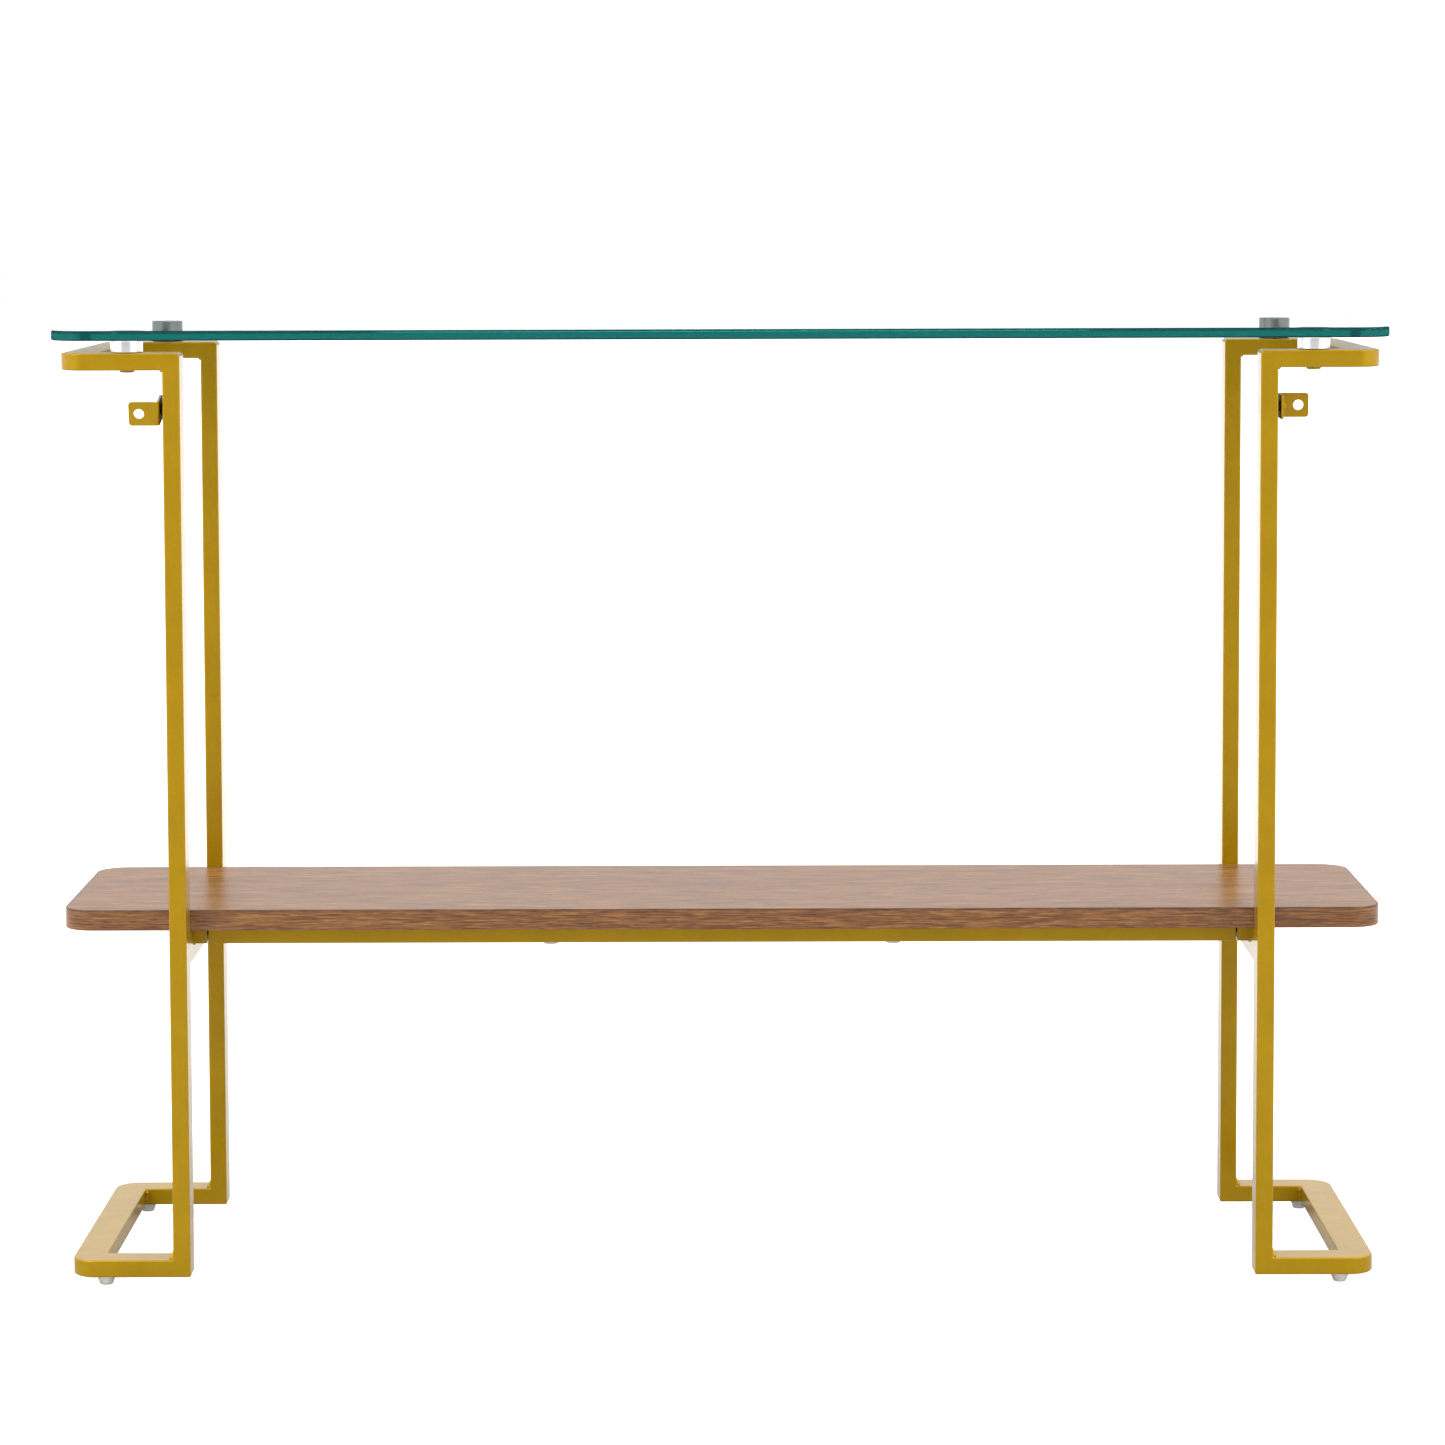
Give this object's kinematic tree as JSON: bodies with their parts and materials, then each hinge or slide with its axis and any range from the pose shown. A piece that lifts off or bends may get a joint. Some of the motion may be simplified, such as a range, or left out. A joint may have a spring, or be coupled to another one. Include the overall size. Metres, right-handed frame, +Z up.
{
  "type": "console table",
  "caption": "Narrow console table: a clear glass top on looped gold tube end frames, a wood shelf between the uprights, levelling feet and two folded wall tabs.",
  "frame": {"origin": "on the floor, under the middle of the table", "axes": "+X along the table to the right, +Y away from the side that carries the wall tabs, +Z up"},
  "size_m": [1.072, 0.3, 0.7745],
  "materials": {
    "gold_paint": "satin gold paint",
    "clear_glass": "clear tempered glass with a green edge",
    "walnut_laminate": "satin walnut laminate, grain along the length",
    "polished_steel": "polished",
    "zinc_plate": "zinc plated",
    "pale_plastic": "pale moulded plastic"
  },
  "bodies": {
    "table": {"glass_top": "clear_glass", "shelf_board": "walnut_laminate", "front_cross_rail": "gold_paint", "rear_cross_rail": "gold_paint", "left_top_loop": "gold_paint", "left_base_loop": "gold_paint", "left_side_rail": "gold_paint", "left_tab_screw": "gold_paint", "left_tab_spacer": "gold_paint", "left_front_upright": "gold_paint", "left_front_rail_stub": "gold_paint", "left_front_rail_insert": "zinc_plate", "left_front_rail_bolt": "zinc_plate", "left_front_shelf_screw": "zinc_plate", "left_front_standoff_disc": "polished_steel", "left_front_standoff_screw": "gold_paint", "left_front_foot_bush": "zinc_plate", "left_rear_upright": "gold_paint", "left_rear_rail_stub": "gold_paint", "left_rear_rail_insert": "zinc_plate", "left_rear_rail_bolt": "zinc_plate", "left_rear_shelf_screw": "zinc_plate", "left_rear_standoff_disc": "polished_steel", "left_rear_standoff_screw": "gold_paint", "left_rear_foot_bush": "zinc_plate", "right_top_loop": "gold_paint", "right_base_loop": "gold_paint", "right_side_rail": "gold_paint", "right_tab_screw": "gold_paint", "right_tab_spacer": "gold_paint", "right_front_upright": "gold_paint", "right_front_rail_stub": "gold_paint", "right_front_rail_insert": "zinc_plate", "right_front_rail_bolt": "zinc_plate", "right_front_shelf_screw": "zinc_plate", "right_front_standoff_disc": "polished_steel", "right_front_standoff_screw": "gold_paint", "right_front_foot_bush": "zinc_plate", "right_rear_upright": "gold_paint", "right_rear_rail_stub": "gold_paint", "right_rear_rail_insert": "zinc_plate", "right_rear_rail_bolt": "zinc_plate", "right_rear_shelf_screw": "zinc_plate", "right_rear_standoff_disc": "polished_steel", "right_rear_standoff_screw": "gold_paint", "right_rear_foot_bush": "zinc_plate"},
    "left_front_foot": {"left_front_foot": "pale_plastic"},
    "left_rear_foot": {"left_rear_foot": "pale_plastic"},
    "right_front_foot": {"right_front_foot": "pale_plastic"},
    "right_rear_foot": {"right_rear_foot": "pale_plastic"},
    "left_wall_tab": {"left_wall_tab": "gold_paint"},
    "right_wall_tab": {"right_wall_tab": "gold_paint"}
  },
  "joints": [
    {"name": "left_front_foot_screw", "type": "slide", "parent": "table", "child": "left_front_foot", "axis": [0, 0, -1], "range_m": [0, 0.006]},
    {"name": "left_rear_foot_screw", "type": "slide", "parent": "table", "child": "left_rear_foot", "axis": [0, 0, -1], "range_m": [0, 0.006]},
    {"name": "right_front_foot_screw", "type": "slide", "parent": "table", "child": "right_front_foot", "axis": [0, 0, -1], "range_m": [0, 0.006]},
    {"name": "right_rear_foot_screw", "type": "slide", "parent": "table", "child": "right_rear_foot", "axis": [0, 0, -1], "range_m": [0, 0.006]},
    {"name": "left_wall_tab_swivel", "type": "hinge", "parent": "table", "child": "left_wall_tab", "pos_m": [-0.445, -0.1285, 0.711], "axis": [1, 0, 0], "continuous": true},
    {"name": "right_wall_tab_swivel", "type": "hinge", "parent": "table", "child": "right_wall_tab", "pos_m": [0.445, -0.1285, 0.711], "axis": [1, 0, 0], "continuous": true}
  ]
}
